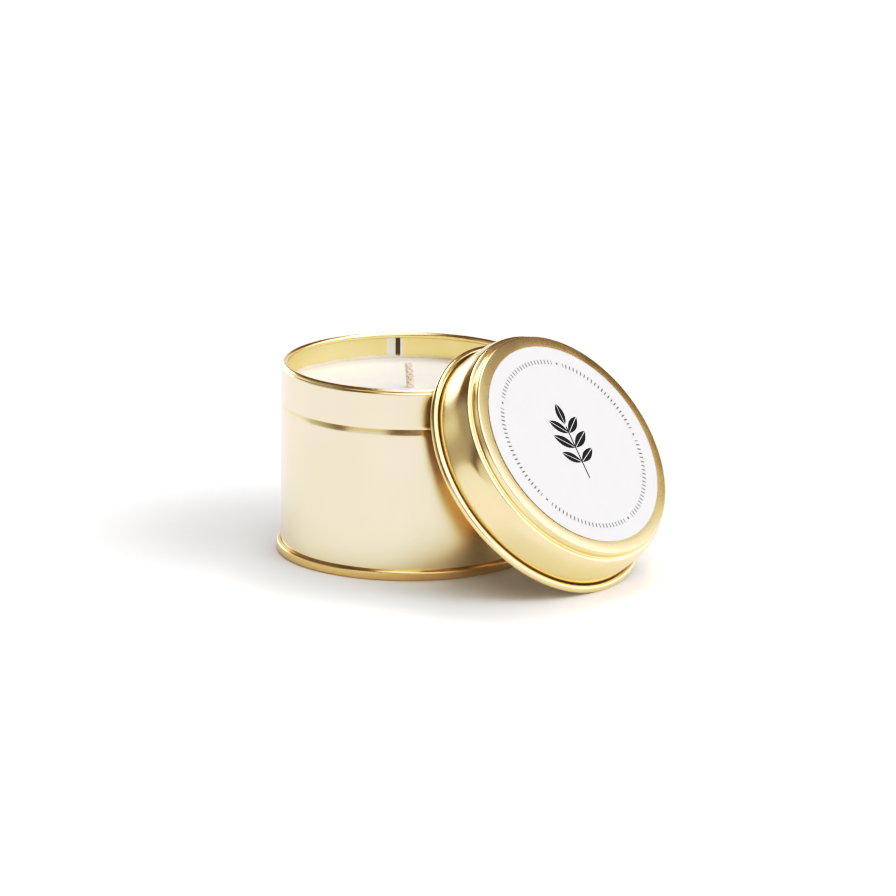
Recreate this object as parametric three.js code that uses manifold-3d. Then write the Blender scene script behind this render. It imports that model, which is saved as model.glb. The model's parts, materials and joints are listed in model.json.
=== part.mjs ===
import * as THREE from "three";
import Module from "manifold-3d";

// Candle tin with its slip lid leaning on it, in millimetres. The tin stands on the floor and +X runs
// from the tin's axis to the lid. Profiles are [radius, height] pairs, turned round the axis.

const FACETS = 64; // flats round every turned sheet part
const SMALL_FACETS = 32; // flats round the small hidden parts
const SHEET = 0.25; // thickness of the tinplate

// Tin
const WALL_RADIUS = 31; // outer face of the rolled wall
const TIN_HEIGHT = 47.2; // floor to the top of the rolled rim
const RIM_CURL_RADIUS = 0.75; // section of the rim, which is curled inwards
const RIM_CENTRE_RADIUS = 30; // from the tin's axis to the middle of that section
const BEAD_TOP = 37.5; // shallow groove that shows where the closed lid ends
const BEAD_BOTTOM = 36;
const BEAD_DEPTH = 0.18;
const SEAM_RADIUS = 32.1; // outside of the double seam at the foot
const SEAM_HEIGHT = 2.5;
const FOOT_INNER = 30.95; // flat ring of the seam that stands on the floor
const FOOT_OUTER = 31.4;
const PANEL_UNDERSIDE = 2.55; // the end panel is raised clear of the floor
const LAP_ANGLE = 132.7; // degrees from +X to the welded lap inside the wall
const LAP_WIDTH = 1.2;
const LAP_HEIGHT = 0.15; // how far the lap stands in from the wall

// Wax and wick
const WAX_TOP = 40.4;
const WAX_RADIUS = 30.45;
const WICK_RADIUS = 0.95;
const WICK_HOLE_RADIUS = 1.15;
const WICK_TOP = 47.4;
const WICK_FOOT = 3.5;
const WICK_LEAN = 0.9; // sideways drift of the tip
const WICK_LEAN_ANGLE = 218; // degrees from +X to where the tip leans
const TAB_RADIUS = 10; // sheet tab that holds the wick up
const TAB_NECK = 1.5;
const TAB_TOP = 8.8;
const STICKER_RADIUS = 9;

// Lid, in its own frame: z = 0 is the top of its raised panel and the open side faces -Z
const PANEL_RADIUS = 29.4;
const PANEL_STEP = 2.25; // depth of the crease outside the panel
const SKIRT_RADIUS = 31.69;
const LID_CURL_RADIUS = 1;
const LID_CURL_CENTRE = [32.5, -12.64];
const LID_LABEL_RADIUS = 26.3;
const LID_LEAN = 52.75; // degrees from level
const LID_DISTANCE = 51.05; // from the tin's axis to the middle of the lid's panel
const BASE_LABEL_RADIUS = 24;

const radians = THREE.MathUtils.degToRad;

// points of an arc about a centre, in degrees from the outward direction towards +Z
function arc([r, z], radius, from, to, steps) {
  const points = [];
  for (let i = 0; i <= steps; i++) {
    const a = radians(from + ((to - from) * i) / steps);
    points.push([r + radius * Math.cos(a), z + radius * Math.sin(a)]);
  }
  return points;
}

// solid of revolution about Z; the profile runs with the material on its left
function turned(profile, facets = FACETS) {
  const points = profile.map(([r, z]) => new THREE.Vector2(r, z));
  return new THREE.LatheGeometry(points, facets).rotateX(Math.PI / 2);
}

function piece(name, geometry, color, metalness, roughness) {
  const material = new THREE.MeshStandardMaterial({ color, metalness, roughness, side: THREE.DoubleSide });
  material.name = `${name}_material`;
  const mesh = new THREE.Mesh(geometry, material);
  mesh.name = name;
  return mesh;
}

// wall with its inward curl at the top, the shallow groove and the hook that the foot seam grips
function wallProfile() {
  const inner = WALL_RADIUS - SHEET;
  const middle = (BEAD_TOP + BEAD_BOTTOM) / 2;
  const curl = [RIM_CENTRE_RADIUS, TIN_HEIGHT - RIM_CURL_RADIUS];
  const hookIn = WALL_RADIUS + 0.4;
  const hookOut = hookIn + 0.22;
  const hookTop = 1.85;
  return [
    [WALL_RADIUS, 1.05],
    [WALL_RADIUS, BEAD_BOTTOM],
    [WALL_RADIUS - 0.7 * BEAD_DEPTH, BEAD_BOTTOM + 0.3],
    [WALL_RADIUS - BEAD_DEPTH, middle],
    [WALL_RADIUS - 0.7 * BEAD_DEPTH, BEAD_TOP - 0.3],
    [WALL_RADIUS, BEAD_TOP],
    [WALL_RADIUS, 45.2],
    [WALL_RADIUS - 0.08, 45.85],
    ...arc(curl, RIM_CURL_RADIUS, 0, 290, 10),
    ...arc(curl, RIM_CURL_RADIUS - SHEET, 290, 10, 7),
    [inner - 0.1, 45.85],
    [inner, 45.2],
    [inner, BEAD_TOP],
    [inner - BEAD_DEPTH, middle],
    [inner, BEAD_BOTTOM],
    [inner, 0.95],
    [WALL_RADIUS, 0.66],
    [hookOut - 0.2, 0.66],
    [hookOut, 0.95],
    [hookOut, hookTop],
    [hookIn, hookTop],
    [hookIn, 1.05],
    [WALL_RADIUS, 1.05],
  ];
}

// end panel, chuck wall inside the tin's wall, and the seam rolled up outside it
function baseProfile() {
  const bottomBend = [FOOT_OUTER, SEAM_RADIUS - FOOT_OUTER];
  const topBend = [SEAM_RADIUS - 0.6, SEAM_HEIGHT - 0.6];
  const seamInner = SEAM_RADIUS - SHEET;
  const panelTop = PANEL_UNDERSIDE + SHEET;
  const chuck = 30.35;
  return [
    [0, PANEL_UNDERSIDE],
    [25.6, PANEL_UNDERSIDE],
    [26.1, PANEL_UNDERSIDE - 0.4],
    [29.7, PANEL_UNDERSIDE - 0.4],
    [chuck, 1.7],
    [chuck, 0.5],
    [chuck + 0.2, 0.14],
    [FOOT_INNER, 0],
    ...arc(bottomBend, SEAM_RADIUS - FOOT_OUTER, -90, 0, 4),
    ...arc(topBend, 0.6, 0, 90, 4),
    [31.25, SEAM_HEIGHT - 0.08],
    [31.12, SEAM_HEIGHT - 0.35],
    [31.12, 1.35],
    [31.28, 1.35],
    [31.28, SEAM_HEIGHT - 0.4],
    [31.5, SEAM_HEIGHT - 0.25],
    [seamInner - 0.12, SEAM_HEIGHT - 0.42],
    [seamInner, SEAM_HEIGHT - 0.75],
    [seamInner, bottomBend[1]],
    [seamInner - 0.13, 0.4],
    [FOOT_OUTER, SHEET],
    [FOOT_INNER, SHEET],
    [chuck + SHEET, 0.6],
    [chuck + SHEET, 1.75],
    [29.85, PANEL_UNDERSIDE - 0.4 + SHEET],
    [26.2, PANEL_UNDERSIDE - 0.4 + SHEET],
    [25.7, panelTop],
    [0, panelTop],
  ];
}

// drawn lid: raised panel, crease, rounded shoulder, slightly flared skirt and outward curl
function lidProfile() {
  const edge = 0.45;
  const crease = 0.35;
  const openTo = 122; // where the curl stops short of the skirt
  const shoulder = [
    [30.1, -2.3], [30.45, -2.5], [30.75, -2.9],
    [30.95, -3.45], [31.15, -4.1], [31.38, -4.9],
  ];
  return [
    [0, -SHEET],
    [PANEL_RADIUS - edge, -SHEET],
    ...arc([PANEL_RADIUS - edge, -edge], edge - SHEET, 60, 0, 1),
    ...arc([PANEL_RADIUS + crease, crease - PANEL_STEP], crease + SHEET, 180, 270, 2),
    ...shoulder.slice(1).map(([r, z]) => [r - SHEET, z - 0.1]),
    [SKIRT_RADIUS - SHEET, -11.8],
    ...arc(LID_CURL_CENTRE, LID_CURL_RADIUS, 180, 360 + openTo, 11),
    ...arc(LID_CURL_CENTRE, LID_CURL_RADIUS - SHEET, 360 + openTo, 180, 8),
    [SKIRT_RADIUS, -11.8],
    ...shoulder.reverse(),
    ...arc([PANEL_RADIUS + crease, crease - PANEL_STEP], crease, 270, 180, 3),
    ...arc([PANEL_RADIUS - edge, -edge], edge, 0, 90, 4),
    [0, 0],
  ];
}

// poured wax: it creeps up the wall and the wick, and has a pocket below for the tab
function waxProfile() {
  const pocketTop = 3.95;
  return [
    [WICK_HOLE_RADIUS, TAB_TOP + 0.4],
    [TAB_NECK + 0.5, TAB_TOP + 0.4],
    [TAB_NECK + 0.5, pocketTop],
    [TAB_RADIUS + 0.4, pocketTop],
    [TAB_RADIUS + 0.4, 3.1],
    [WAX_RADIUS - 0.5, 3.1],
    [WAX_RADIUS, 3.6],
    [WAX_RADIUS, WAX_TOP + 0.45],
    [WAX_RADIUS - 0.35, WAX_TOP + 0.12],
    [WAX_RADIUS - 1.2, WAX_TOP - 0.02],
    [12, WAX_TOP - 0.1],
    [3, WAX_TOP],
    [WICK_HOLE_RADIUS, WAX_TOP + 0.25],
    [WICK_HOLE_RADIUS, TAB_TOP + 0.4],
  ];
}

// stamped tab with the neck that is crimped on the wick
function tabProfile() {
  return [
    [WICK_HOLE_RADIUS, 3.4],
    [TAB_RADIUS, 3.4],
    [TAB_RADIUS, 3.65],
    [TAB_NECK + 0.35, 3.65],
    [TAB_NECK, 4],
    [TAB_NECK, TAB_TOP - 0.2],
    [TAB_NECK - 0.15, TAB_TOP],
    [WICK_HOLE_RADIUS, TAB_TOP],
    [WICK_HOLE_RADIUS, 3.4],
  ];
}

function disc(radius, from, to, facets = FACETS) {
  return turned([[0, from], [radius, from], [radius, to], [0, to]], facets);
}

// round cord through rings at each station [offset, height, radius], with a point at either end
function wickGeometry(sides = 12) {
  const lean = radians(WICK_LEAN_ANGLE);
  const stations = [
    [0, WICK_FOOT, WICK_RADIUS],
    [0, WAX_TOP + 0.6, WICK_RADIUS],
    [0.08 * WICK_LEAN, WAX_TOP + 1.8, WICK_RADIUS],
    [0.25 * WICK_LEAN, WAX_TOP + 3, WICK_RADIUS],
    [0.5 * WICK_LEAN, WAX_TOP + 4.3, 0.94 * WICK_RADIUS],
    [0.78 * WICK_LEAN, WAX_TOP + 5.6, 0.85 * WICK_RADIUS],
    [0.97 * WICK_LEAN, WICK_TOP - 0.3, 0.7 * WICK_RADIUS],
  ];
  const points = [[0, 0, WICK_FOOT]];
  for (const [shift, z, radius] of stations)
    for (let i = 0; i < sides; i++) {
      const a = (2 * Math.PI * i) / sides;
      const x = shift * Math.cos(lean) + radius * Math.cos(a);
      points.push([x, shift * Math.sin(lean) + radius * Math.sin(a), z]);
    }
  points.push([WICK_LEAN * Math.cos(lean), WICK_LEAN * Math.sin(lean), WICK_TOP]);
  const index = [];
  const last = points.length - 1;
  for (let i = 0; i < sides; i++) {
    const next = (i + 1) % sides;
    index.push(0, 1 + next, 1 + i);
    for (let s = 0; s < stations.length - 1; s++) {
      const low = 1 + s * sides;
      const high = low + sides;
      index.push(low + i, low + next, high + next, low + i, high + next, high + i);
    }
    index.push(last - sides + i, last - sides + next, last);
  }
  const geometry = new THREE.BufferGeometry();
  geometry.setAttribute("position", new THREE.Float32BufferAttribute(points.flat(), 3));
  geometry.setIndex(index);
  geometry.computeVertexNormals();
  return geometry;
}

// the lapped edges of the rolled sheet, as a low strip up the inside of the wall
function lapGeometry() {
  const low = 3.2;
  const high = 45.2;
  const depth = LAP_HEIGHT + 0.6 * SHEET;
  const strip = new THREE.BoxGeometry(depth, LAP_WIDTH, high - low);
  strip.translate(WALL_RADIUS - SHEET - LAP_HEIGHT + depth / 2, 0, (low + high) / 2);
  return strip.rotateZ(radians(LAP_ANGLE));
}

const wasm = await Module();
wasm.setup();

function toSolid(geometry) {
  const plain = geometry.index ? geometry.toNonIndexed() : geometry;
  const position = plain.getAttribute("position").array;
  const seen = new Map();
  const corners = [];
  const vertices = [];
  for (let i = 0; i < position.length; i += 3) {
    const at = [position[i], position[i + 1], position[i + 2]];
    const key = at.map((v) => Math.round(v * 1e4)).join();
    if (!seen.has(key)) {
      seen.set(key, vertices.length / 3);
      vertices.push(...at);
    }
    corners.push(seen.get(key));
  }
  const faces = [];
  for (let i = 0; i < corners.length; i += 3) {
    const [a, b, c] = corners.slice(i, i + 3);
    if (a !== b && b !== c && c !== a) faces.push(a, b, c);
  }
  const vertProperties = new Float32Array(vertices);
  return new wasm.Manifold(
    new wasm.Mesh({ numProp: 3, vertProperties, triVerts: new Uint32Array(faces) }),
  );
}

function joined(a, b) {
  const mesh = toSolid(a).add(toSolid(b)).getMesh();
  const geometry = new THREE.BufferGeometry();
  geometry.setAttribute("position", new THREE.Float32BufferAttribute(mesh.vertProperties, 3));
  geometry.setIndex(new THREE.BufferAttribute(mesh.triVerts, 1));
  geometry.computeVertexNormals();
  return geometry;
}

function baseLabelDisc() {
  return disc(BASE_LABEL_RADIUS, PANEL_UNDERSIDE - 0.25, PANEL_UNDERSIDE - 0.1);
}

function makeTin() {
  const tin = new THREE.Group();
  tin.name = "tin";
  tin.add(
    piece("tin_body", joined(turned(wallProfile()), lapGeometry()), 0xe3cf9c, 1, 0.3),
    piece("tin_base", turned(baseProfile()), 0xd6b976, 1, 0.3),
    piece("wax_fill", turned(waxProfile()), 0xf6f0e4, 0, 0.55),
    piece("wick", wickGeometry(), 0xe6cfae, 0, 0.95),
    piece("wick_sustainer", turned(tabProfile(), SMALL_FACETS), 0xc9ccd0, 1, 0.35),
    piece("wick_sticker", disc(STICKER_RADIUS, 2.95, 3.25, SMALL_FACETS), 0xf3f1ea, 0, 0.8),
    piece("base_label", baseLabelDisc(), 0xf7f6f4, 0, 0.7),
  );
  return tin;
}

// The lid stands on its curl, so its height follows from the lean.
function makeLid() {
  const lid = new THREE.Group();
  lid.name = "lid";
  lid.add(
    piece("lid_shell", turned(lidProfile()), 0xe0c98f, 1, 0.28),
    piece("lid_label", disc(LID_LABEL_RADIUS, 0.08, 0.2), 0xf7f6f8, 0, 0.75),
  );
  const lean = radians(LID_LEAN);
  const [curlRadius, curlHeight] = LID_CURL_CENTRE;
  const rise = -curlHeight * Math.cos(lean) + curlRadius * Math.sin(lean) + LID_CURL_RADIUS;
  lid.rotation.y = lean;
  lid.position.set(LID_DISTANCE, 0, rise);
  return lid;
}

// the frame's origin is under the middle of the bounding box, on the floor
function makeCandleTin() {
  const whole = new THREE.Group();
  whole.name = "candle_tin";
  whole.add(makeTin(), makeLid());
  whole.updateMatrixWorld(true);
  const box = new THREE.Box3().setFromObject(whole, true);
  whole.children.forEach((group) => {
    group.position.x -= (box.min.x + box.max.x) / 2;
    group.position.z -= box.min.z;
  });
  return whole;
}

export default makeCandleTin();
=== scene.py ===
import json
import math

import bpy
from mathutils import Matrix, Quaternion, Vector


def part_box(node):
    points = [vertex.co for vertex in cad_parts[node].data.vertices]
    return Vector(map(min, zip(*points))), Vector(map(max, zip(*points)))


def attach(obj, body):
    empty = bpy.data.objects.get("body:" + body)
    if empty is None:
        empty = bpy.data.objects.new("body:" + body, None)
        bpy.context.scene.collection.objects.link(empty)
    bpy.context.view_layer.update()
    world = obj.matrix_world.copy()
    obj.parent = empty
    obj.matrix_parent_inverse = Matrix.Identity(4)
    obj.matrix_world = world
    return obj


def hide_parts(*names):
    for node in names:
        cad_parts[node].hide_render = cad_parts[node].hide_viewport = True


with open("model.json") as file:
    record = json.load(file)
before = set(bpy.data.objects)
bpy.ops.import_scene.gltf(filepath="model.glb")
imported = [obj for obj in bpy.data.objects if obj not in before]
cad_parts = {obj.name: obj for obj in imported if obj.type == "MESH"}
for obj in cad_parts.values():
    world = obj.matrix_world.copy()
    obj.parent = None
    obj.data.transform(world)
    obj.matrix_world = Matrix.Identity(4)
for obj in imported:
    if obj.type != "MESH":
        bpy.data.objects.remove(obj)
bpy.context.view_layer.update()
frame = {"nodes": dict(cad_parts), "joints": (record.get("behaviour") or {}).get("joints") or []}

mm = 0.001

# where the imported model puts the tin's upright axis and the leaning lid
tinLow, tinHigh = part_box("tin_body")
tinPlace = Vector(((tinLow.x + tinHigh.x) / 2, (tinLow.y + tinHigh.y) / 2, 0))
labelLow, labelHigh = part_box("lid_label")
lidLean = math.radians(frame["joints"][0]["range_deg"][1])
lidUp = Vector((math.sin(lidLean), 0, math.cos(lidLean)))
labelRise = 0.14  # from the panel's top face to the middle of the label's thickness
lidPlace = (labelLow + labelHigh) / 2 - lidUp * labelRise * mm


# camera, light and floor

cameraLook = {"aim": (-10.49, 6.184, 25.143), "distance": 1.5, "bearing": 38.44, "pitch": 14.324,
              "roll": 0.43, "lens": 245.75}


def directionAt(bearing, height):
    b, h = math.radians(bearing), math.radians(height)
    return Vector((math.sin(b) * math.cos(h), -math.cos(b) * math.cos(h), math.sin(h)))


def makeCamera(look):
    back = directionAt(look["bearing"], look["pitch"])
    bpy.ops.object.camera_add()
    camera = bpy.context.object
    camera.name = "viewCamera"
    camera.location = Vector(look["aim"]) * mm + back * look["distance"]
    camera.rotation_mode = "QUATERNION"
    camera.rotation_quaternion = ((-back).to_track_quat("-Z", "Y")
                                  @ Quaternion((0, 0, 1), math.radians(look["roll"])))
    camera.data.lens = look["lens"]
    camera.data.sensor_width = 36
    camera.data.clip_start, camera.data.clip_end = 0.05, 50
    bpy.context.scene.camera = camera


lights = {
    "keyLight": {"bearing": 103, "height": 47, "spread": 30, "strength": 0.7},
    "backLight": {"bearing": 205, "height": 66, "spread": 25, "strength": 0.85},
}


# a far, broad light, as from a large diffuser, so the floor is lit evenly
def makeLight(name, look):
    towards = directionAt(look["bearing"], look["height"])
    bpy.ops.object.light_add(type="SUN", location=towards)
    light = bpy.context.object
    light.name = name
    light.rotation_mode = "QUATERNION"
    light.rotation_quaternion = (-towards).to_track_quat("-Z", "Y")
    light.data.angle = math.radians(look["spread"])
    light.data.energy = look["strength"]


# adds a node, sets its properties, and fills its inputs with values or links
def put(tree, kind, inputs=None, **settings):
    node = tree.nodes.new(kind)
    for key, value in settings.items():
        setattr(node, key, value)
    for key, value in (inputs or {}).items():
        if isinstance(value, bpy.types.NodeSocket):
            tree.links.new(value, node.inputs[key])
        else:
            node.inputs[key].default_value = value
    return node


def sums(tree, operation, *values, clamp=False):
    node = put(tree, "ShaderNodeMath", dict(enumerate(values)), operation=operation, use_clamp=clamp)
    return node.outputs[0]


# eases from 0 at low to 1 at high
def fade(tree, value, low, high):
    node = put(tree, "ShaderNodeMapRange", {"Value": value, "From Min": low, "From Max": high},
               interpolation_type="SMOOTHSTEP")
    return node.outputs["Result"]


def mixColour(tree, factor, a, b):
    return put(tree, "ShaderNodeMix", {0: factor, 6: a, 7: b}, data_type="RGBA").outputs[2]


# broad panels of light round the table: where each stands, how wide it is in degrees, and how bright
roomLook = {"dim": (0.29, 0.215, 0.125, 1), "plainDim": (0.2, 0.2, 0.2, 1), "backdrop": 1.35,
            "horizon": 1.2, "horizonLow": 0.27, "horizonHigh": 0.36, "sideStart": -0.1, "sideEnd": 0.35,
            "panels": [
    {"bearing": 83, "height": 50, "inner": 42, "outer": 52, "bright": 1.9},
    {"bearing": 108, "height": 0, "inner": 47.5, "outer": 53.0, "bright": 2.05},
    {"bearing": 153, "height": 38, "inner": 3, "outer": 10, "bright": 0.4},
    {"bearing": 252, "height": 9, "inner": 15, "outer": 20, "bright": 2.6},
    {"bearing": 2, "height": 5, "inner": 16, "outer": 24, "bright": 1.0},
    {"bearing": -52, "height": 22, "inner": 18, "outer": 34, "bright": 0.6},
]}


# a dim room with large soft panels, which polished tin needs for contrast
def makeRoom(look):
    world = bpy.data.worlds.new("studioRoom")
    bpy.context.scene.world = world
    world.use_nodes = True
    tree = world.node_tree
    tree.nodes.clear()
    direction = put(tree, "ShaderNodeTexCoord").outputs["Generated"]
    # the pale backdrop stands low behind the table
    away = put(tree, "ShaderNodeVectorMath", {0: direction, 1: -directionAt(cameraLook["bearing"], 0)},
               operation="DOT_PRODUCT").outputs["Value"]
    height = put(tree, "ShaderNodeSeparateXYZ", {0: direction}).outputs[2]
    low = fade(tree, height, look["horizonHigh"], look["horizonLow"])
    behind = fade(tree, away, look["sideStart"], look["sideEnd"])
    room = sums(tree, "MULTIPLY", sums(tree, "MULTIPLY", low, behind), look["horizon"])
    for panel in look["panels"]:
        towards = directionAt(panel["bearing"], panel["height"])
        facing = put(tree, "ShaderNodeVectorMath", {0: direction, 1: towards},
                     operation="DOT_PRODUCT").outputs["Value"]
        outer, inner = (math.cos(math.radians(panel[edge])) for edge in ("outer", "inner"))
        seen = fade(tree, facing, outer, inner)
        room = sums(tree, "MAXIMUM", room, sums(tree, "MULTIPLY", seen, panel["bright"]))
    cameraRay = put(tree, "ShaderNodeLightPath").outputs["Is Camera Ray"]
    lit = sums(tree, "MAXIMUM", room, sums(tree, "MULTIPLY", cameraRay, look["backdrop"]))
    white = put(tree, "ShaderNodeCombineXYZ", {0: lit, 1: lit, 2: lit}).outputs[0]
    mirrored = put(tree, "ShaderNodeLightPath").outputs["Is Glossy Ray"]
    # the dim parts look warm only in the metal
    dim = mixColour(tree, mirrored, look["plainDim"], look["dim"])
    colour = put(tree, "ShaderNodeVectorMath", {0: white, 1: dim}, operation="MAXIMUM").outputs[0]
    background = put(tree, "ShaderNodeBackground", {"Color": colour})
    put(tree, "ShaderNodeOutputWorld", {"Surface": background.outputs[0]})


floorLook = {"reach": 8, "colour": (0.9, 0.9, 0.9, 1), "glow": 0.06}


def makeFloor(look):
    bpy.ops.mesh.primitive_circle_add(vertices=64, radius=look["reach"], fill_type="NGON")
    floor = bpy.context.object
    floor.name = "paleFloor"
    material = bpy.data.materials.new("paleFloorPaint")
    material.use_nodes = True
    paint = material.node_tree.nodes["Principled BSDF"]
    paint.inputs["Base Color"].default_value = look["colour"]
    paint.inputs["Roughness"].default_value = 0.9
    paint.inputs["Specular IOR Level"].default_value = 0.1
    paint.inputs["Emission Color"].default_value = (1, 1, 1, 1)
    paint.inputs["Emission Strength"].default_value = look["glow"]
    floor.data.materials.append(material)


toneLook = {"white": 1.26, "curve": [(0.1, 0.035), (0.2, 0.1), (0.3, 0.2), (0.4, 0.34), (0.5, 0.49),
                                     (0.6, 0.61), (0.75, 0.755), (0.9, 0.87)]}


# deeper darks and softer lights
def setTone(look):
    view = bpy.context.scene.view_settings
    view.view_transform = "Standard"
    view.use_curve_mapping = True
    view.curve_mapping.white_level = (look["white"],) * 3
    for x, y in look["curve"]:
        view.curve_mapping.curves[3].points.new(x, y)
    view.curve_mapping.update()


makeCamera(cameraLook)
for lightName, lightLook in lights.items():
    makeLight(lightName, lightLook)
makeRoom(roomLook)
makeFloor(floorLook)
setTone(toneLook)
print("camera, light and floor are in place")


# ways of shaping sheet and round pieces

def leaveNothingSelected():
    if bpy.context.object and bpy.context.object.mode != "OBJECT":
        bpy.ops.object.mode_set(mode="OBJECT")
    bpy.ops.object.select_all(action="DESELECT")


# a section line, drawn point by point from one merged corner: [radius, height] in millimetres
def drawSection(name, points):
    leaveNothingSelected()
    bpy.ops.mesh.primitive_plane_add(size=mm)
    piece = bpy.context.object
    piece.name = piece.data.name = name
    bpy.ops.object.mode_set(mode="EDIT")
    bpy.ops.mesh.select_mode(type="VERT")
    bpy.ops.mesh.select_all(action="SELECT")
    bpy.ops.mesh.merge(type="CENTER")
    bpy.ops.transform.translate(value=(points[0][0] * mm, 0, points[0][1] * mm))
    for (r0, z0), (r1, z1) in zip(points, points[1:]):
        step = ((r1 - r0) * mm, 0, (z1 - z0) * mm)
        bpy.ops.mesh.extrude_vertices_move(TRANSFORM_OT_translate={"value": step})
    return piece


# turns the section once round the upright axis and closes the seam and the poles
def spinSection(piece, steps):
    bpy.ops.mesh.select_all(action="SELECT")
    bpy.ops.mesh.spin(steps=steps, angle=2 * math.pi, center=(0, 0, 0), axis=(0, 0, 1))
    bpy.ops.mesh.select_all(action="SELECT")
    bpy.ops.mesh.remove_doubles(threshold=0.002 * mm)
    bpy.ops.mesh.normals_make_consistent(inside=False)
    bpy.ops.object.mode_set(mode="OBJECT")


# points of a bend, in degrees from the outward direction towards +Z
def bend(centre, radius, start, end, steps):
    turns = [math.radians(start + (end - start) * i / steps) for i in range(steps + 1)]
    return [(centre[0] + radius * math.cos(t), centre[1] + radius * math.sin(t)) for t in turns]


def applyModifier(piece, kind, **settings):
    modifier = piece.modifiers.new(kind.lower(), kind)
    for key, value in settings.items():
        setattr(modifier, key, value)
    bpy.context.view_layer.objects.active = piece
    bpy.ops.object.modifier_apply(modifier=modifier.name)


def shadeSmooth(piece, degrees=35):
    leaveNothingSelected()
    piece.select_set(True)
    bpy.context.view_layer.objects.active = piece
    bpy.ops.object.shade_smooth_by_angle(angle=math.radians(degrees))


# puts a finished piece in its place, with the place in its mesh
def settle(piece, place, lean=0):
    leaveNothingSelected()
    piece.select_set(True)
    bpy.context.view_layer.objects.active = piece
    piece.location = place
    piece.rotation_euler = (0, lean, 0)
    bpy.ops.object.transform_apply(location=True, rotation=True, scale=True)


def finishPiece(piece, body, node, material):
    piece.data.materials.clear()
    piece.data.materials.append(material)
    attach(piece, body)
    if node:
        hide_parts(node)


def makeSheetPiece(name, points, thickness, steps):
    piece = drawSection(name, points)
    spinSection(piece, steps)
    applyModifier(piece, "SOLIDIFY", thickness=thickness * mm, offset=0, use_even_offset=True)
    return piece


# shared effects

# a node group with named inputs and outputs
def newGroup(name, inputs, outputs):
    group = bpy.data.node_groups.new(name, "ShaderNodeTree")
    for label, (kind, value) in inputs.items():
        socket = group.interface.new_socket(label, in_out="INPUT", socket_type="NodeSocket" + kind)
        if value is not None:
            socket.default_value = value
    for label, kind in outputs.items():
        group.interface.new_socket(label, in_out="OUTPUT", socket_type="NodeSocket" + kind)
    entry = group.nodes.new("NodeGroupInput")
    leave = group.nodes.new("NodeGroupOutput")
    return group, entry.outputs, leave.inputs


def noise(tree, vector, scale, detail=3.0, roughness=0.55, distortion=0.0):
    node = put(tree, "ShaderNodeTexNoise", {"Vector": vector, "Scale": scale, "Detail": detail,
                                            "Roughness": roughness, "Distortion": distortion})
    return node.outputs["Fac"]


# rolling grain of tinplate: fine lines along Z, with a few broader streaks
def buildRolledGrain():
    group, given, out = newGroup("rolledGrain", {
        "Vector": ("Vector", None), "Fineness": ("Float", 1800.0), "Stretch": ("Float", 0.02)},
        {"Lines": "Float", "Streaks": "Float"})
    along = put(group, "ShaderNodeCombineXYZ", {"X": 1.0, "Y": 1.0, "Z": given["Stretch"]}).outputs[0]
    drawn = put(group, "ShaderNodeVectorMath", {0: given["Vector"], 1: along},
                operation="MULTIPLY").outputs[0]
    fine = noise(group, drawn, given["Fineness"], 4.0, 0.65)
    broad = noise(group, drawn, sums(group, "MULTIPLY", given["Fineness"], 0.12), 2.0)
    group.links.new(fine, out["Lines"])
    group.links.new(broad, out["Streaks"])
    return group


# cloudy patches and small specks, for handling marks, frosting and paper tone
def buildPatches():
    group, given, out = newGroup("patches", {
        "Vector": ("Vector", None), "Size": ("Float", 100.0), "Amount": ("Float", 0.5)},
        {"Cloud": "Float", "Specks": "Float"})
    cloud = noise(group, given["Vector"], given["Size"], 4.0, 0.6, 0.4)
    group.links.new(sums(group, "MULTIPLY", fade(group, cloud, 0.35, 0.7), given["Amount"]), out["Cloud"])
    cells = put(group, "ShaderNodeTexVoronoi", {"Vector": given["Vector"],
                "Scale": sums(group, "MULTIPLY", given["Size"], 6.0)})
    dots = sums(group, "LESS_THAN", cells.outputs["Distance"], 0.09)
    kept = sums(group, "GREATER_THAN", put(group, "ShaderNodeSeparateColor",
                {0: cells.outputs["Color"]}).outputs[0], 0.95)
    group.links.new(sums(group, "MULTIPLY", dots, kept), out["Specks"])
    return group


# short crossing fibres of uncoated paper
def buildPaperFibres():
    group, given, out = newGroup("paperFibres", {
        "Vector": ("Vector", None), "Fineness": ("Float", 2200.0)}, {"Fibres": "Float", "Tone": "Float"})
    layers = []
    for turn in (0.3, 1.5, 2.6):
        turned = put(group, "ShaderNodeMapping", {"Vector": given["Vector"], "Rotation": (0, 0, turn),
                                                  "Scale": (1, 0.14, 1)}).outputs[0]
        layers.append(noise(group, turned, given["Fineness"], 2.0, 0.5, 0.6))
    fibres = sums(group, "MAXIMUM", sums(group, "MAXIMUM", layers[0], layers[1]), layers[2])
    group.links.new(fibres, out["Fibres"])
    group.links.new(noise(group, given["Vector"], sums(group, "MULTIPLY", given["Fineness"], 0.06), 3.0),
                    out["Tone"])
    return group


# distance from the Z axis in millimetres, and the angle round it in turns
def buildRoundPlace():
    group, given, out = newGroup("roundPlace", {"Vector": ("Vector", None)},
                                 {"Radius": "Float", "Turn": "Float", "Height": "Float"})
    axes = put(group, "ShaderNodeSeparateXYZ", {0: given["Vector"]}).outputs
    flat = put(group, "ShaderNodeCombineXYZ", {"X": axes[0], "Y": axes[1]}).outputs[0]
    radius = put(group, "ShaderNodeVectorMath", {0: flat}, operation="LENGTH").outputs["Value"]
    turn = sums(group, "DIVIDE", sums(group, "ARCTAN2", axes[1], axes[0]), 2 * math.pi)
    group.links.new(sums(group, "MULTIPLY", radius, 1000.0), out["Radius"])
    group.links.new(sums(group, "FRACT", sums(group, "ADD", turn, 1.0)), out["Turn"])
    group.links.new(sums(group, "MULTIPLY", axes[2], 1000.0), out["Height"])
    return group


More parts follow.
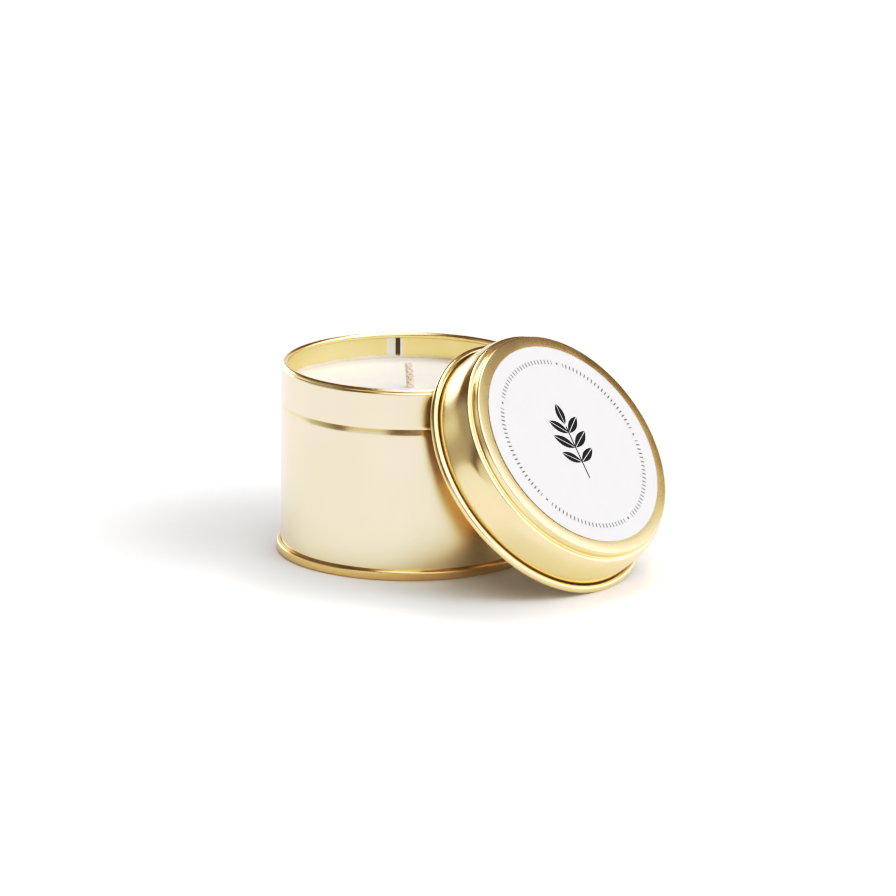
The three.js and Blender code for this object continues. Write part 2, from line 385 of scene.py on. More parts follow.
# a ring of printed ticks: 1 on the ink
def buildTickRing():
    group, given, out = newGroup("tickRing", {
        "Radius": ("Float", 0.0), "Turn": ("Float", 0.0), "Ring": ("Float", 22.0), "Length": ("Float", 1.2),
        "Ticks": ("Float", 90.0), "Share": ("Float", 0.3)}, {"Ink": "Float"})
    off = sums(group, "ABSOLUTE", sums(group, "SUBTRACT", given["Radius"], given["Ring"]))
    inRing = sums(group, "LESS_THAN", off, sums(group, "MULTIPLY", given["Length"], 0.5))
    cycle = sums(group, "FRACT", sums(group, "MULTIPLY", given["Turn"], given["Ticks"]))
    offTick = sums(group, "ABSOLUTE", sums(group, "SUBTRACT", cycle, 0.5))
    inTick = sums(group, "LESS_THAN", offTick, sums(group, "MULTIPLY", given["Share"], 0.5))
    group.links.new(sums(group, "MULTIPLY", inRing, inTick), out["Ink"])
    return group


# one pointed leaf along +X from the origin, in millimetres: 1 on the ink
def buildPrintedLeaf():
    group, given, out = newGroup("printedLeaf", {
        "Vector": ("Vector", None), "Long": ("Float", 4.0), "Wide": ("Float", 1.6)}, {"Ink": "Float"})
    axes = put(group, "ShaderNodeSeparateXYZ", {0: given["Vector"]}).outputs
    x = sums(group, "DIVIDE", sums(group, "MULTIPLY", axes[0], 1000.0), given["Long"])
    y = sums(group, "ABSOLUTE", sums(group, "MULTIPLY", axes[1], 1000.0))
    halfWidth = sums(group, "MULTIPLY", sums(group, "MULTIPLY", x, sums(group, "SUBTRACT", 1.0, x)),
                     sums(group, "MULTIPLY", given["Wide"], 2.0))
    inside = sums(group, "GREATER_THAN", sums(group, "SUBTRACT", halfWidth, y), 0.0)
    vein = sums(group, "GREATER_THAN", y, 0.09)
    group.links.new(sums(group, "MULTIPLY", inside, vein), out["Ink"])
    return group


rolledGrain = buildRolledGrain()
patches = buildPatches()
paperFibres = buildPaperFibres()
roundPlace = buildRoundPlace()
tickRing = buildTickRing()
printedLeaf = buildPrintedLeaf()


def fillGroup(tree, group, inputs):
    return put(tree, "ShaderNodeGroup", inputs, node_tree=group).outputs


def newMaterial(name, **constants):
    material = bpy.data.materials.new(name)
    material.use_nodes = True
    tree = material.node_tree
    shader = tree.nodes["Principled BSDF"]
    for key, value in constants.items():
        shader.inputs[key.replace("_", " ")].default_value = value
    return material, tree, shader


# the piece's own axis stands at the origin of the pattern
def placed(tree, place, lean=0, turn=0):
    spot = put(tree, "ShaderNodeTexCoord").outputs["Object"]
    moved = put(tree, "ShaderNodeMapping", {"Vector": spot, "Location": tuple(place),
                                            "Rotation": (0, lean, 0)}, vector_type="TEXTURE").outputs[0]
    if turn:
        moved = put(tree, "ShaderNodeMapping", {"Vector": moved, "Rotation": (0, 0, -turn)}).outputs[0]
    return moved


def bump(tree, shader, height, distance, strength=1.0):
    node = put(tree, "ShaderNodeBump", {"Height": height, "Distance": distance, "Strength": strength})
    tree.links.new(node.outputs["Normal"], shader.inputs["Normal"])


# gold-lacquered tinplate

goldLook = {"wallLight": (0.885, 0.79, 0.60, 1), "wallDeep": (0.86, 0.75, 0.54, 1),
            "insideLight": (0.87, 0.725, 0.455, 1), "insideDeep": (0.83, 0.665, 0.38, 1),
            "light": (0.91, 0.76, 0.49, 1), "deep": (0.87, 0.70, 0.41, 1),
            "shadedEndLight": (0.85, 0.675, 0.40, 1), "shadedEndDeep": (0.79, 0.60, 0.33, 1),
            "inside": 30.8, "outside": 30.95, "roughness": 0.17, "grain": 0.004, "fineness": 1500.0}

# bands are where a mask starts, is full, starts to fall and ends, in millimetres
weldLook = {"bareBand": (-1.35, -1.15, 2.55, 2.85), "scorchBand": (-0.62, -0.5, 0.62, 0.74), "wander": 0.3,
            "underCurl": 45.3, "curlFoot": 45.9,
            "bareTin": (0.82, 0.81, 0.79, 1), "scorch": (0.19, 0.14, 0.08, 1)}
filmLook = {"full": 41.35, "end": 42.25, "foot": 38.8, "footFull": 39.4, "wobble": 1.5,
            "colour": (0.90, 0.85, 0.74, 1)}
# painted shade: a darker, duller gold for the crevice where the lid's curl meets the skirt
creviceShadeLook = {"full": 32.0, "end": 32.3, "band": (-12.9, -12.6, -11.4, -11.1),
               "colour": (0.5, 0.41, 0.28, 1)}


def inBand(tree, value, band):
    start, full, fall, end = band
    return sums(tree, "MULTIPLY", fade(tree, value, start, full), fade(tree, value, end, fall))


# masks of the bare tin beside the weld, and of the scorched weld
def weldMasks(tree, spot, streaks, turn, look):
    across = put(tree, "ShaderNodeMapping", {"Vector": spot, "Rotation": (0, 0, -turn)}).outputs[0]
    axes = put(tree, "ShaderNodeSeparateXYZ", {0: across}).outputs
    side = sums(tree, "MULTIPLY", axes[1], 1000.0)
    wander = sums(tree, "MULTIPLY_ADD", streaks, look["wander"], side)
    # the curl hides the weld
    below = fade(tree, sums(tree, "MULTIPLY", axes[2], 1000.0), look["curlFoot"], look["underCurl"])
    ahead = sums(tree, "MULTIPLY", sums(tree, "GREATER_THAN", axes[0], 0.0), below)
    return (sums(tree, "MULTIPLY", ahead, inBand(tree, side, look["bareBand"])),
            sums(tree, "MULTIPLY", ahead, inBand(tree, wander, look["scorchBand"])))


# mask of the thin film of wax that has crept up the inside
def filmMask(tree, spot, around, look):
    edge = sums(tree, "MULTIPLY_ADD", noise(tree, spot, 150.0, 3.0, 0.6), look["wobble"], around["Height"])
    film = sums(tree, "MULTIPLY", fade(tree, edge, look["end"], look["full"]),
                fade(tree, around["Radius"], goldLook["outside"], goldLook["inside"]))
    return sums(tree, "MULTIPLY", film, fade(tree, around["Height"], look["foot"], look["footFull"]))


def goldTinplate(name, place, lean=0, acrossGrain=False, seamTurn=None, creviceShade=None):
    material, tree, shader = newMaterial(name, Coat_Weight=0.25, Coat_Roughness=0.08, Coat_IOR=1.5,
                                         Metallic=1.0)
    spot = placed(tree, place, lean)
    grainSpot, tints = spot, ("light", "deep")
    # painted shade: the seamed end gets a darker gold than the lid, for the shade around the tin's foot
    if acrossGrain:
        grainSpot = put(tree, "ShaderNodeMapping", {"Vector": spot,
                                                    "Rotation": (math.pi / 2, 0, 0.6)}).outputs[0]
        tints = ("shadedEndLight", "shadedEndDeep")
    grain = fillGroup(tree, rolledGrain, {"Vector": grainSpot, "Fineness": goldLook["fineness"],
                                          "Stretch": 0.015})
    marks = fillGroup(tree, patches, {"Vector": spot, "Size": 55.0, "Amount": 1.0})
    around = fillGroup(tree, roundPlace, {"Vector": spot})
    shade = sums(tree, "MULTIPLY_ADD", grain["Streaks"], 0.7, sums(tree, "MULTIPLY", marks["Cloud"], 0.25))
    colour = mixColour(tree, shade, goldLook[tints[0]], goldLook[tints[1]])
    rough = sums(tree, "MULTIPLY_ADD", marks["Cloud"], 0.05, goldLook["roughness"])
    rough = sums(tree, "MULTIPLY_ADD", grain["Lines"], 0.06, rough)
    rough = sums(tree, "MULTIPLY_ADD", marks["Specks"], 0.05, rough)
    if creviceShade:  # painted shade: the gold is darkened where the curl meets the skirt
        within = sums(tree, "MULTIPLY", fade(tree, around["Radius"], creviceShade["end"], creviceShade["full"]),
                      inBand(tree, around["Height"], creviceShade["band"]))
        colour = mixColour(tree, within, colour, creviceShade["colour"])
    if seamTurn is not None:
        # painted light and shade: the wall's outer face gets a paler gold and its inside a deeper one
        outer = mixColour(tree, shade, goldLook["wallLight"], goldLook["wallDeep"])
        inner = mixColour(tree, shade, goldLook["insideLight"], goldLook["insideDeep"])
        colour = mixColour(tree, fade(tree, around["Radius"], goldLook["inside"], goldLook["outside"]),
                           inner, outer)
        film = filmMask(tree, spot, around, filmLook)
        colour = mixColour(tree, film, colour, filmLook["colour"])
        bare, weld = weldMasks(tree, spot, grain["Streaks"], seamTurn, weldLook)
        bare = sums(tree, "SUBTRACT", bare, film, clamp=True)
        weld = sums(tree, "SUBTRACT", weld, film, clamp=True)
        for mask, extra in ((bare, 0.12), (weld, 0.25), (film, 0.3)):
            rough = sums(tree, "MULTIPLY_ADD", mask, extra, rough)
        colour = mixColour(tree, bare, colour, weldLook["bareTin"])
        colour = mixColour(tree, weld, colour, weldLook["scorch"])
        metal = sums(tree, "MULTIPLY_ADD", weld, -0.35, 1.0)
        metal = sums(tree, "MULTIPLY_ADD", film, -0.85, metal, clamp=True)
        tree.links.new(metal, shader.inputs["Metallic"])
    tree.links.new(colour, shader.inputs["Base Color"])
    tree.links.new(rough, shader.inputs["Roughness"])
    bump(tree, shader, grain["Lines"], goldLook["grain"] * mm)
    return material


# the tin: rolled wall

tinLook = {"sheet": 0.25, "radius": 30.875, "height": 47.2, "curl": 0.625, "curlAxis": 30.0,
           "grooveTop": 37.5, "grooveFoot": 35.95, "grooveDepth": 0.3, "seamTurn": 133.7,
           "hookAxis": 31.1925, "hookRadius": 0.3175, "lapWidth": 1.2, "lapStand": 0.14,
           "lapFoot": 3.2, "lapTop": 45.3, "steps": 192}


def wallSection(look):
    r, curlHeight = look["radius"], look["height"] - look["curl"] - look["sheet"] / 2
    foot, top, deep = look["grooveFoot"], look["grooveTop"], look["grooveDepth"]
    # the groove slopes in as it rises and ends at a crisp upper edge
    groove = [(r, foot - 0.1), (r - 0.1 * deep, foot + 0.12), (r - 0.3 * deep, foot + 0.42),
              (r - 0.55 * deep, foot + 0.8), (r - 0.8 * deep, foot + 1.17), (r - 0.97 * deep, top - 0.1),
              (r - 0.95 * deep, top - 0.03), (r - 0.5 * deep, top), (r - 0.08 * deep, top + 0.04),
              (r, top + 0.12)]
    return [
        (look["hookAxis"] + look["hookRadius"], 1.85),
        *bend((look["hookAxis"], 1.05), look["hookRadius"], 0, -180, 8),
        (r, 3), (r, 12), (r, 24), (r, 35),
        *groove,
        (r, 38.2), (r, 42), (r, 45.5), (r, 45.95),
        # it eases in under the curl
        (r - 0.02, 46.06), (r - 0.07, 46.16), (r - 0.14, 46.25), (r - 0.2, 46.33), (r - 0.235, 46.4),
        *bend((look["curlAxis"], curlHeight), look["curl"], 0, 292, 28),
    ]


tinWall = makeSheetPiece("tinWall", wallSection(tinLook), tinLook["sheet"], tinLook["steps"])


# the lapped edge of the rolled sheet is raised a little along the inside of the wall
def raiseLap(piece, look):
    turn = math.radians(look["seamTurn"])
    inward = Vector((-math.cos(turn), -math.sin(turn), 0))
    across = Vector((-math.sin(turn), math.cos(turn), 0))
    half, innerFace = look["lapWidth"] / 2 * mm, (look["radius"] - look["sheet"] / 2) * mm
    leaveNothingSelected()
    bpy.context.view_layer.objects.active = piece
    bpy.ops.object.mode_set(mode="EDIT")
    for side in (-1, 1):  # two cuts down the wall, one at each edge of the lap
        bpy.ops.mesh.select_all(action="SELECT")
        bpy.ops.mesh.bisect(plane_co=across * side * half, plane_no=across)
    bpy.ops.mesh.select_all(action="DESELECT")
    bpy.ops.object.mode_set(mode="OBJECT")
    for face in piece.data.polygons:
        c = face.center
        inner = face.normal.dot(inward) > 0.9 and abs(c.dot(-inward) - innerFace) < 0.4 * mm
        between = look["lapFoot"] * mm < c.z < look["lapTop"] * mm
        face.select = bool(inner and abs(c.dot(across)) < half and between)
    bpy.ops.object.mode_set(mode="EDIT")
    bpy.ops.mesh.select_mode(type="FACE")
    bpy.ops.mesh.extrude_region_move(TRANSFORM_OT_translate={"value": inward * look["lapStand"] * mm})
    bpy.ops.object.mode_set(mode="OBJECT")


raiseLap(tinWall, tinLook)
shadeSmooth(tinWall)
settle(tinWall, tinPlace)
wallGold = goldTinplate("goldLacquerWall", tinPlace, seamTurn=math.radians(tinLook["seamTurn"]))
finishPiece(tinWall, "tin", "tin_body", wallGold)
print("tin wall is rolled, grooved and curled")


# the tin: seamed end

endLook = {"sheet": 0.25, "panel": 2.675, "step": 0.4, "chuck": 30.475, "foot": 0.125, "seamOuter": 31.975,
           "seamTop": 2.375, "hook": 31.19, "steps": 192}


def endSection(look):
    panel, low = look["panel"], look["panel"] - look["step"]
    return [
        (0, panel), (8, panel), (16, panel), (22, panel),
        *bend((25.3, panel - 0.3), 0.3, 90, 40, 4), *bend((26.05, low + 0.3), 0.3, 220, 270, 4),
        (28, low), *bend((look["chuck"] - 0.6, low - 0.6), 0.6, 90, 0, 8), (look["chuck"], 1.0),
        *bend((look["chuck"] + 0.45, look["foot"] + 0.45), 0.45, 180, 270, 6),
        *bend((look["seamOuter"] - 0.575, look["foot"] + 0.575), 0.575, 270, 360, 8),
        *bend((look["seamOuter"] - 0.475, look["seamTop"] - 0.475), 0.475, 0, 90, 8),
        *bend((look["hook"] + 0.18, look["seamTop"] - 0.2), 0.18, 95, 180, 5),
        (look["hook"], 1.5),
    ]


tinEnd = makeSheetPiece("tinEnd", endSection(endLook), endLook["sheet"], endLook["steps"])
shadeSmooth(tinEnd)
settle(tinEnd, tinPlace)
endGold = goldTinplate("goldLacquerEnd", tinPlace, acrossGrain=True)
finishPiece(tinEnd, "tin", "tin_base", endGold)
print("tin end is seamed on")


# wax

waxLook = {"top": 40.4, "radius": 30.45, "foot": 3.1, "pocket": 10.4, "pocketTop": 3.95, "neck": 2.0,
           "neckTop": 9.2, "hole": 0.4, "creepWall": 0.12, "creepWick": 0.3, "steps": 160,
           "waveSize": 0.011, "waveHeight": 0.16,
           "colour": (0.955, 0.92, 0.845, 1), "rim": (0.91, 0.86, 0.785, 1)}


def waxSection(look):
    top, edge = look["top"], look["radius"]
    creep = [(edge - 2.6 * (1 - t), top - 0.04 + look["creepWall"] * t ** 5) for t in
             (i / 9 for i in range(10))]
    nearWick = [(look["hole"] + 2.6 * t, top + look["creepWick"] * (1 - t) ** 4 - 0.01) for t in
                (i / 7 for i in range(8))]
    return [
        (look["hole"], look["neckTop"]), (look["neck"], look["neckTop"]), (look["neck"], look["pocketTop"]),
        (look["pocket"], look["pocketTop"]), (look["pocket"], look["foot"]), (edge - 0.5, look["foot"]),
        (edge, look["foot"] + 0.5), (edge, 20), *reversed(creep),
        (24, top - 0.07), (18, top - 0.1), (12, top - 0.1), (7, top - 0.06), *reversed(nearWick),
        (look["hole"], look["neckTop"]),
    ]


# poured wax never sets quite flat: the top rises and dips by a few hundredths of a millimetre
def settleWaxTop(piece, look):
    cloud = bpy.data.textures.new("waxWaves", "CLOUDS")
    cloud.noise_scale = look["waveSize"]
    group = piece.vertex_groups.new(name="waxTop")
    chosen = [v.index for v in piece.data.vertices
              if v.co.z > (look["top"] - 0.3) * mm and v.co.xy.length < (look["radius"] - 0.6) * mm]
    group.add(chosen, 1.0, "REPLACE")
    applyModifier(piece, "DISPLACE", texture=cloud, strength=look["waveHeight"] * mm, mid_level=0.5,
                  vertex_group="waxTop", direction="Z")


def waxMaterial(look):
    material, tree, shader = newMaterial("pouredWax", Subsurface_Weight=0.2, Subsurface_Scale=0.004,
                                         Subsurface_Radius=(1.0, 0.62, 0.4), IOR=1.44, Coat_Weight=0.08,
                                         Coat_Roughness=0.35)
    spot = placed(tree, tinPlace)
    place = fillGroup(tree, roundPlace, {"Vector": spot})
    frost = fillGroup(tree, patches, {"Vector": spot, "Size": 160.0, "Amount": 1.0})
    # painted shade: the wax turns to a greyer colour towards the wall, where the wall shades it; the frost
    # patches use the same greyer colour
    wallShade = fade(tree, place["Radius"], 25.5, 30.6)
    tone = sums(tree, "MULTIPLY_ADD", frost["Cloud"], 0.25, sums(tree, "MULTIPLY", wallShade, 0.75))
    tree.links.new(mixColour(tree, tone, look["colour"], look["rim"]), shader.inputs["Base Color"])
    tree.links.new(sums(tree, "MULTIPLY_ADD", frost["Cloud"], 0.18, 0.42), shader.inputs["Roughness"])
    pits = sums(tree, "MULTIPLY_ADD", frost["Specks"], -0.6, noise(tree, spot, 900.0, 4.0, 0.6))
    bump(tree, shader, pits, 0.02 * mm)
    return material


wax = drawSection("waxFill", waxSection(waxLook))
spinSection(wax, waxLook["steps"])
settleWaxTop(wax, waxLook)
shadeSmooth(wax, 40)
settle(wax, tinPlace)
finishPiece(wax, "tin", "wax_fill", waxMaterial(waxLook))
print("wax is poured")


# wick: a round braid of cotton strands

wickLook = {"foot": 3.5, "top": 46.6, "straightTo": 41.0, "lean": 0.45, "sway": 0.6, "leanTurn": 218.0,
            "radius": 0.67, "strand": 0.33, "wave": 0.09, "strands": 8, "pitch": 5.2,
            "step": 0.32, "core": 0.5,
            "colour": (1.0, 0.87, 0.77, 1), "shade": (0.95, 0.78, 0.65, 1)}


# how far the wick has leant over at a height, in millimetres
def wickLean(z, look):
    t = max(0.0, (z - look["straightTo"]) / (look["top"] - look["straightTo"]))
    within = min(1.0, max(0.0, (z - look["foot"] - 7) / 25))  # it drifts a little inside the wax
    away = look["lean"] * t ** 1.5 - look["sway"] * within
    turn = math.radians(look["leanTurn"])
    return away * math.cos(turn), away * math.sin(turn)


def strandPoint(z, way, number, look):
    turn = 2 * math.pi * ((z - look["foot"]) / look["pitch"] * way + number / look["strands"] * 2)
    over = math.sin(4 * turn * way + (0 if way > 0 else math.pi))
    r = look["radius"] + look["wave"] * over
    r *= 1 - 0.12 * max(0.0, (z - look["top"] + 1.2) / 1.2)
    x, y = wickLean(z, look)
    return Vector((x + r * math.cos(turn), y + r * math.sin(turn), z)) * mm


# one strand is a small ring drawn out along the braid, a step at a time
def drawStrand(way, number, look):
    start = look["straightTo"] - 3.0
    count = int((look["top"] - start) / look["step"])
    leaveNothingSelected()
    here = strandPoint(start, way, number, look)
    bpy.ops.mesh.primitive_circle_add(vertices=8, radius=look["strand"] * mm, fill_type="NGON",
                                      location=here)
    strand = bpy.context.object
    bpy.ops.object.transform_apply(location=True)
    bpy.ops.object.mode_set(mode="EDIT")
    bpy.ops.mesh.select_all(action="SELECT")
    for i in range(1, count + 1):
        there = strandPoint(start + i * (look["top"] - start) / count, way, number, look)
        bpy.ops.mesh.extrude_region_move(TRANSFORM_OT_translate={"value": there - here})
        here = there
    bpy.ops.mesh.select_all(action="SELECT")
    bpy.ops.mesh.normals_make_consistent(inside=False)
    bpy.ops.object.mode_set(mode="OBJECT")
    return strand


def drawCore(look):
    leaveNothingSelected()
    bpy.ops.mesh.primitive_circle_add(vertices=16, radius=look["core"] * mm, fill_type="NGON",
                                      location=(0, 0, look["foot"] * mm))
    core = bpy.context.object
    bpy.ops.object.transform_apply(location=True)
    bpy.ops.object.mode_set(mode="EDIT")
    bpy.ops.mesh.select_all(action="SELECT")
    heights = [look["foot"], 10.5, 22.0, 35.5, look["straightTo"], 42.5, 44.0, 45.4, look["top"] - 0.25]
    for low, high in zip(heights, heights[1:]):
        a, b = wickLean(low, look), wickLean(high, look)
        step = Vector((b[0] - a[0], b[1] - a[1], high - low)) * mm
        bpy.ops.mesh.extrude_region_move(TRANSFORM_OT_translate={"value": step})
    bpy.ops.mesh.select_all(action="SELECT")
    bpy.ops.mesh.normals_make_consistent(inside=False)
    bpy.ops.object.mode_set(mode="OBJECT")
    return core


def makeWick(look):
    parts = [drawCore(look)]
    for way in (1, -1):
        for number in range(look["strands"] // 2):
            parts.append(drawStrand(way, number, look))
    leaveNothingSelected()
    for part in parts:
        part.select_set(True)
    bpy.context.view_layer.objects.active = parts[0]
    bpy.ops.object.join()
    wick = bpy.context.object
    wick.name = wick.data.name = "braidedWick"
    return wick


def cottonMaterial(look):
    material, tree, shader = newMaterial("waxedCotton", Sheen_Weight=0.25, Sheen_Roughness=0.5,
                                         Subsurface_Weight=0.15, Subsurface_Scale=0.0006)
    spot = placed(tree, tinPlace)
    fibres = fillGroup(tree, rolledGrain, {"Vector": spot, "Fineness": 6500.0, "Stretch": 0.3})
    tone = fade(tree, fibres["Lines"], 0.35, 0.65)
    tree.links.new(mixColour(tree, tone, look["shade"], look["colour"]), shader.inputs["Base Color"])
    tree.links.new(sums(tree, "MULTIPLY_ADD", tone, 0.2, 0.65), shader.inputs["Roughness"])
    bump(tree, shader, fibres["Lines"], 0.05 * mm)
    return material


wick = makeWick(wickLook)
shadeSmooth(wick, 60)
settle(wick, tinPlace)
finishPiece(wick, "tin", "wick", cottonMaterial(wickLook))
print("wick is braided")


# lid shell

lidLook = {"sheet": 0.25, "panel": 28.95, "dome": 0.1, "domeStart": 26.4, "edge": 0.325,
           "creaseAxis": 29.625, "crease": 0.35, "creaseDepth": 2.375,
           "shoulderAxis": (30.1, -2.92), "shoulder": 0.5,
           "skirt": 31.565, "skirtFoot": -11.8, "curlAxis": (32.5, -12.64), "curl": 0.875, "steps": 192}


def lidSection(look):
    top = -look["sheet"] / 2
    start, end = look["domeStart"], look["panel"]
    dome = [(start + (end - start) * i / 6, top - look["dome"] * (i / 6) ** 2) for i in range(7)]
    return [
        (0, top), (8, top), (16, top), (22, top), *dome,
        *bend((end, top - look["dome"] - look["edge"]), look["edge"], 84, 0, 7),
        *bend((look["creaseAxis"], look["crease"] - look["creaseDepth"]), look["crease"], 180, 268, 8),
        # a narrow shelf, a cone below it, and the cone eases into the skirt
        (29.9, -2.38), *bend(look["shoulderAxis"], look["shoulder"], 84, 17, 6), (30.88, -3.77),
        (30.98, -4.1), (31.08, -4.5), (31.16, -4.95), (31.22, -5.5), (31.28, -6.2),
        (31.33, -7.0), (31.4, -8.4), (31.49, -10.4), (look["skirt"] - 0.01, look["skirtFoot"] + 0.4),
        *bend(look["curlAxis"], look["curl"], 176, 360 + 138, 34),
    ]


lidShell = makeSheetPiece("lidShell", lidSection(lidLook), lidLook["sheet"], lidLook["steps"])
shadeSmooth(lidShell)
settle(lidShell, lidPlace, lidLean)
lidGold = goldTinplate("goldLacquerLid", lidPlace, lidLean, creviceShade=creviceShadeLook)
finishPiece(lidShell, "lid", "lid_shell", lidGold)
print("lid is drawn and curled")


# lid label

labelLook = {"radius": 26.3, "foot": 0.08, "thick": 0.12, "turn": 84.25, "sprigSize": 1.4, "ring": 22.1,
             "paper": (0.66, 0.65, 0.657, 1), "tone": (0.635, 0.625, 0.632, 1),
             "ink": (0.018, 0.018, 0.02, 1), "greyInk": (0.16, 0.16, 0.17, 1),
             "steps": 192}

# leaves of the printed sprig: where each starts, which way it points in degrees, its length and width
sprigLeaves = [((0, 3.6), 90, 4.2, 1.9), ((0, 2.0), 38, 4.6, 1.8), ((0, 2.0), 142, 4.6, 1.8),
               ((0, -0.8), 34, 5.0, 1.9), ((0, -0.8), 146, 5.0, 1.9), ((0, -3.6), 30, 4.6, 1.7),
               ((0, -3.6), 150, 4.6, 1.7)]


def makePaperDisc(name, radius, foot, thick, steps):
    leaveNothingSelected()
    bpy.ops.mesh.primitive_circle_add(vertices=steps, radius=radius * mm, fill_type="NGON",
                                      location=(0, 0, foot * mm))
    disc = bpy.context.object
    disc.name = disc.data.name = name
    bpy.ops.object.transform_apply(location=True)
    bpy.ops.object.mode_set(mode="EDIT")
    bpy.ops.mesh.select_all(action="SELECT")
    bpy.ops.mesh.extrude_region_move(TRANSFORM_OT_translate={"value": (0, 0, thick * mm)})
    bpy.ops.mesh.inset(thickness=0.03 * mm)  # the cut edge is pressed down a little
    bpy.ops.transform.translate(value=(0, 0, 0.02 * mm))
    bpy.ops.mesh.inset(thickness=radius * 0.3 * mm)
    bpy.ops.mesh.inset(thickness=radius * 0.3 * mm)
    bpy.ops.mesh.select_all(action="SELECT")
    bpy.ops.mesh.normals_make_consistent(inside=False)
    bpy.ops.object.mode_set(mode="OBJECT")
    return disc


def labelMaterial(look):
    material, tree, shader = newMaterial("printedLabel", Specular_IOR_Level=0.35)
    spot = placed(tree, lidPlace, lidLean, math.radians(look["turn"]))
    place = fillGroup(tree, roundPlace, {"Vector": spot})
    fibres = fillGroup(tree, paperFibres, {"Vector": spot, "Fineness": 2600.0})
    ring = fillGroup(tree, tickRing, {"Radius": place["Radius"], "Turn": place["Turn"],
                                      "Ring": look["ring"], "Length": 1.15, "Ticks": 120.0,
                                      "Share": 0.32})["Ink"]
    # the ring is broken into five runs with a dot between them
    run = sums(tree, "FRACT", sums(tree, "MULTIPLY", place["Turn"], 5.0))
    inRun = sums(tree, "LESS_THAN", sums(tree, "ABSOLUTE", sums(tree, "SUBTRACT", run, 0.5)), 0.44)
    ring = sums(tree, "MULTIPLY", ring, inRun)
    between = sums(tree, "ADD", place["Turn"], 0.1)
    dots = fillGroup(tree, tickRing, {"Radius": place["Radius"], "Turn": between, "Ring": look["ring"],
                                      "Length": 0.6, "Ticks": 5.0, "Share": 0.022})["Ink"]
    sprig, size = None, look["sprigSize"]
    for (x, y), turn, long, wide in sprigLeaves:
        angle = math.radians(turn)
        at = put(tree, "ShaderNodeMapping", {"Vector": spot, "Location": (x * size * mm, y * size * mm, 0),
                                             "Rotation": (0, 0, angle)}, vector_type="TEXTURE").outputs[0]
        leaf = fillGroup(tree, printedLeaf, {"Vector": at, "Long": long * size, "Wide": wide * size})["Ink"]
        sprig = leaf if sprig is None else sums(tree, "MAXIMUM", sprig, leaf)
    axes = put(tree, "ShaderNodeSeparateXYZ", {0: spot}).outputs
    stem = sums(tree, "MULTIPLY", sums(tree, "LESS_THAN", sums(tree, "ABSOLUTE", axes[0]), 0.2 * mm),
                sums(tree, "LESS_THAN", sums(tree, "ABSOLUTE", sums(tree, "ADD", axes[1], 1.7 * size * mm)),
                     5.0 * size * mm))
    sprig = sums(tree, "MAXIMUM", sprig, stem)
    colour = mixColour(tree, sums(tree, "MULTIPLY", fibres["Tone"], 0.6), look["paper"], look["tone"])
    colour = mixColour(tree, sums(tree, "MAXIMUM", ring, dots), colour, look["greyInk"])
    colour = mixColour(tree, sprig, colour, look["ink"])
    tree.links.new(colour, shader.inputs["Base Color"])
    tree.links.new(sums(tree, "MULTIPLY_ADD", sprig, -0.2, 0.72), shader.inputs["Roughness"])
    bump(tree, shader, fibres["Fibres"], 0.01 * mm)
    return material


lidLabel = makePaperDisc("lidLabel", labelLook["radius"], labelLook["foot"], labelLook["thick"] - 0.02,
                         labelLook["steps"])
shadeSmooth(lidLabel, 30)
settle(lidLabel, lidPlace, lidLean)
finishPiece(lidLabel, "lid", "lid_label", labelMaterial(labelLook))
print("lid label is printed and stuck on")


# label under the tin

baseLook = {"radius": 24.0, "foot": 2.3, "thick": 0.13, "paper": (0.9, 0.89, 0.87, 1),
            "tone": (0.84, 0.82, 0.79, 1), "ink": (0.2, 0.2, 0.2, 1)}


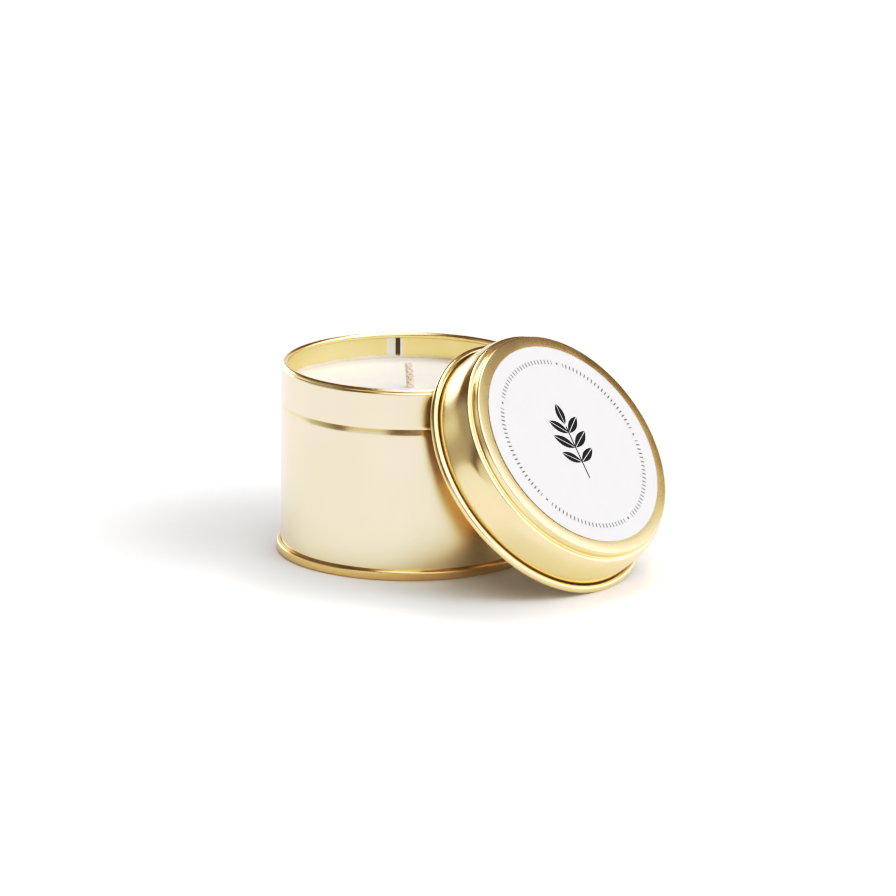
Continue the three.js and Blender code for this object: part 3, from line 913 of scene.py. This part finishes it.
def baseLabelMaterial(look):
    material, tree, shader = newMaterial("baseLabelPaper", Specular_IOR_Level=0.35)
    spot = placed(tree, tinPlace)
    place = fillGroup(tree, roundPlace, {"Vector": spot})
    fibres = fillGroup(tree, paperFibres, {"Vector": spot, "Fineness": 2000.0})
    outer = fillGroup(tree, tickRing, {"Radius": place["Radius"], "Turn": place["Turn"], "Ring": 21.5,
                                       "Length": 0.35, "Ticks": 1.0, "Share": 1.0})["Ink"]
    inner = fillGroup(tree, tickRing, {"Radius": place["Radius"], "Turn": place["Turn"], "Ring": 19.6,
                                       "Length": 0.8, "Ticks": 72.0, "Share": 0.25})["Ink"]
    colour = mixColour(tree, fibres["Tone"], look["paper"], look["tone"])
    colour = mixColour(tree, sums(tree, "MAXIMUM", outer, inner), colour, look["ink"])
    tree.links.new(colour, shader.inputs["Base Color"])
    tree.links.new(sums(tree, "MULTIPLY_ADD", fibres["Tone"], 0.1, 0.7), shader.inputs["Roughness"])
    bump(tree, shader, fibres["Fibres"], 0.012 * mm)
    return material


baseLabel = makePaperDisc("baseLabel", baseLook["radius"], baseLook["foot"], baseLook["thick"], 128)
shadeSmooth(baseLabel, 30)
settle(baseLabel, tinPlace)
finishPiece(baseLabel, "tin", "base_label", baseLabelMaterial(baseLook))
print("base label is stuck on")


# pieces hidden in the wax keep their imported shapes

def tabMaterial():
    material, tree, shader = newMaterial("tabSteel", Metallic=1.0)
    spot = placed(tree, tinPlace)
    grain = fillGroup(tree, rolledGrain, {"Vector": spot, "Fineness": 1200.0, "Stretch": 1.0})
    colour = mixColour(tree, grain["Streaks"], (0.72, 0.73, 0.75, 1), (0.6, 0.61, 0.63, 1))
    tree.links.new(colour, shader.inputs["Base Color"])
    tree.links.new(sums(tree, "MULTIPLY_ADD", grain["Lines"], 0.2, 0.25), shader.inputs["Roughness"])
    bump(tree, shader, grain["Lines"], 0.01 * mm)
    return material


def stickerMaterial():
    material, tree, shader = newMaterial("stickerPaper", Specular_IOR_Level=0.3)
    spot = placed(tree, tinPlace)
    fibres = fillGroup(tree, paperFibres, {"Vector": spot, "Fineness": 1800.0})
    colour = mixColour(tree, fibres["Tone"], (0.88, 0.86, 0.82, 1), (0.8, 0.77, 0.72, 1))
    tree.links.new(colour, shader.inputs["Base Color"])
    tree.links.new(sums(tree, "MULTIPLY_ADD", fibres["Tone"], 0.15, 0.7), shader.inputs["Roughness"])
    bump(tree, shader, fibres["Fibres"], 0.02 * mm)
    return material


for node, material in (("wick_sustainer", tabMaterial()), ("wick_sticker", stickerMaterial())):
    for socket in frame["nodes"][node].material_slots:
        socket.material = material
print("tab and sticker have their finishes")

leaveNothingSelected()
